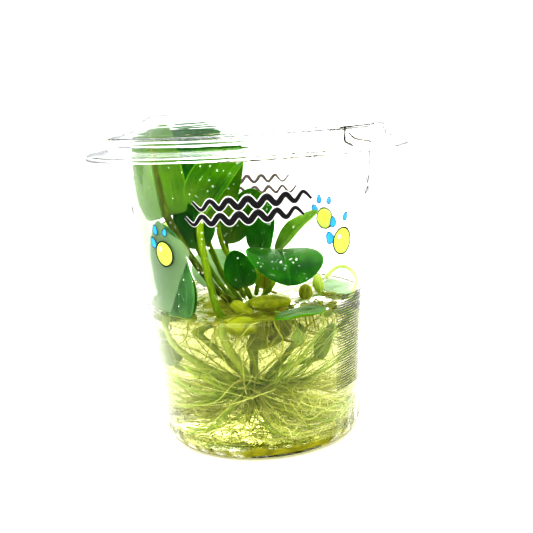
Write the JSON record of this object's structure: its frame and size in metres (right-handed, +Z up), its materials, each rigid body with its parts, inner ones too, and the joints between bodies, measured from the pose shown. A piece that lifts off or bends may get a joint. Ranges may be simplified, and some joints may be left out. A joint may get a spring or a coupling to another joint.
{
  "type": "floating water plant in a lidded clear cup",
  "caption": "Clear lidded cup part filled with water and crowded with amazon frogbit: glossy oval floating leaves, swollen stalks, a looping runner and pale feathery roots.",
  "frame": {"origin": "on the cup's axis, at the height of the surface that its standing ring rests on", "axes": "+Z up along the cup's axis; -Y towards the side that the picture shows; +X to that side's right"},
  "size_m": [0.118, 0.118, 0.1218],
  "materials": {
    "clear_plastic": "clear, glossy, thermoformed",
    "pond_water": "clear, faintly yellow-green",
    "leaf_dark": "waxy, deep green",
    "leaf_mid": "waxy, mid green",
    "leaf_bright": "waxy, bright green",
    "leaf_pale": "wet, pale green",
    "leaf_yellowed": "wet, yellowed and spongy",
    "leaf_olive": "wet, olive brown, decaying",
    "crown_green": "wet, knobbly",
    "runner_green": "smooth, juicy",
    "root_pale": "fine, translucent"
  },
  "bodies": {
    "root": {"bract_right": "leaf_olive", "bud_pale": "runner_green", "bud_yellow": "leaf_yellowed", "crown_floating": "crown_green", "crown_right": "crown_green", "crown_sunken": "crown_green", "cup": "clear_plastic", "leaf_back_left": "leaf_pale", "leaf_back_right": "leaf_pale", "leaf_back_stalk": "leaf_dark", "leaf_behind_stalk": "leaf_dark", "leaf_broad_front": "leaf_dark", "leaf_centre": "leaf_dark", "leaf_floating_right": "leaf_mid", "leaf_front_sunken": "leaf_mid", "leaf_left_inner": "leaf_mid", "leaf_left_sunken": "leaf_mid", "leaf_left_wall": "leaf_pale", "leaf_mid_back": "leaf_mid", "leaf_right_sunken": "leaf_yellowed", "leaf_small_dark": "leaf_dark", "leaf_tall_back": "leaf_bright", "leaf_tall_front": "leaf_mid", "leaf_under_lid": "leaf_bright", "leaf_young_rolled": "leaf_mid", "lid": "clear_plastic", "old_leaf_centre": "leaf_olive", "old_leaf_left": "leaf_olive", "old_leaf_sunken": "leaf_olive", "root_bright_left": "runner_green", "root_bunch_1": "root_pale", "root_bunch_10": "root_pale", "root_bunch_2": "root_pale", "root_bunch_3": "root_pale", "root_bunch_4": "root_pale", "root_bunch_5": "root_pale", "root_bunch_6": "root_pale", "root_bunch_7": "root_pale", "root_bunch_8": "root_pale", "root_bunch_9": "root_pale", "root_thick_left": "runner_green", "runner_loop": "runner_green", "runner_right": "runner_green", "runner_up": "runner_green", "swollen_leaf_front": "leaf_yellowed", "swollen_leaf_left": "leaf_yellowed", "swollen_leaf_middle": "leaf_yellowed", "water": "pond_water"}
  },
  "joints": []
}
